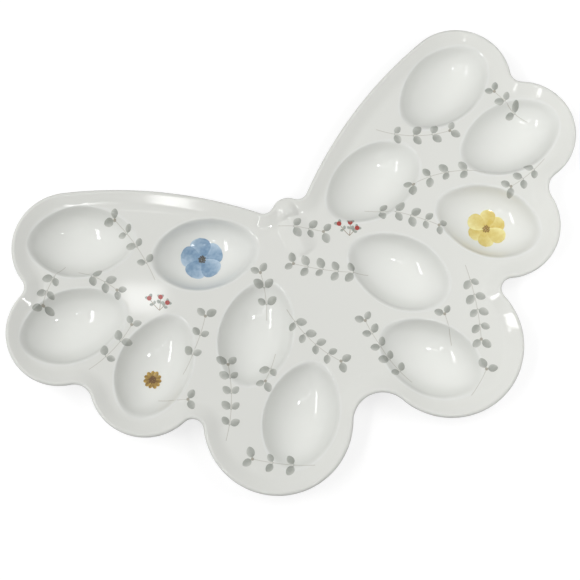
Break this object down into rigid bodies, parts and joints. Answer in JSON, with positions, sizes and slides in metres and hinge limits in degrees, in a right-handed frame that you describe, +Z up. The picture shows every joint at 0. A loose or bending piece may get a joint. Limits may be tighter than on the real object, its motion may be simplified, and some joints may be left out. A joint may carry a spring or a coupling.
{
  "type": "deviled egg platter",
  "caption": "Butterfly-shaped glazed porcelain platter with egg-shaped wells in both wings that hold halved boiled eggs, and a low raised rim.",
  "frame": {"origin": "middle of the platter's outline, on the surface that it stands on", "axes": "+X across the wings to the right wing, +Y from the tail to the head, +Z up"},
  "size_m": [0.362, 0.219, 0.0199],
  "materials": {
    "white_glaze": "glossy white glaze over porcelain",
    "well_glaze": "glossy white glaze over porcelain, ground bare where the bowls stand"
  },
  "bodies": {
    "root": {"head": "white_glaze", "body": "white_glaze", "left_wing_floor": "white_glaze", "right_wing_floor": "white_glaze", "left_shoulder_rim": "white_glaze", "right_shoulder_rim": "white_glaze", "left_wing_rim": "white_glaze", "right_wing_rim": "white_glaze", "left_tip_well": "well_glaze", "left_leading_well": "well_glaze", "left_outer_well": "well_glaze", "left_middle_well": "well_glaze", "left_inner_well": "well_glaze", "left_tail_well": "well_glaze", "right_tip_well": "well_glaze", "right_leading_well": "well_glaze", "right_outer_well": "well_glaze", "right_middle_well": "well_glaze", "right_inner_well": "well_glaze", "right_tail_well": "well_glaze"}
  },
  "joints": []
}
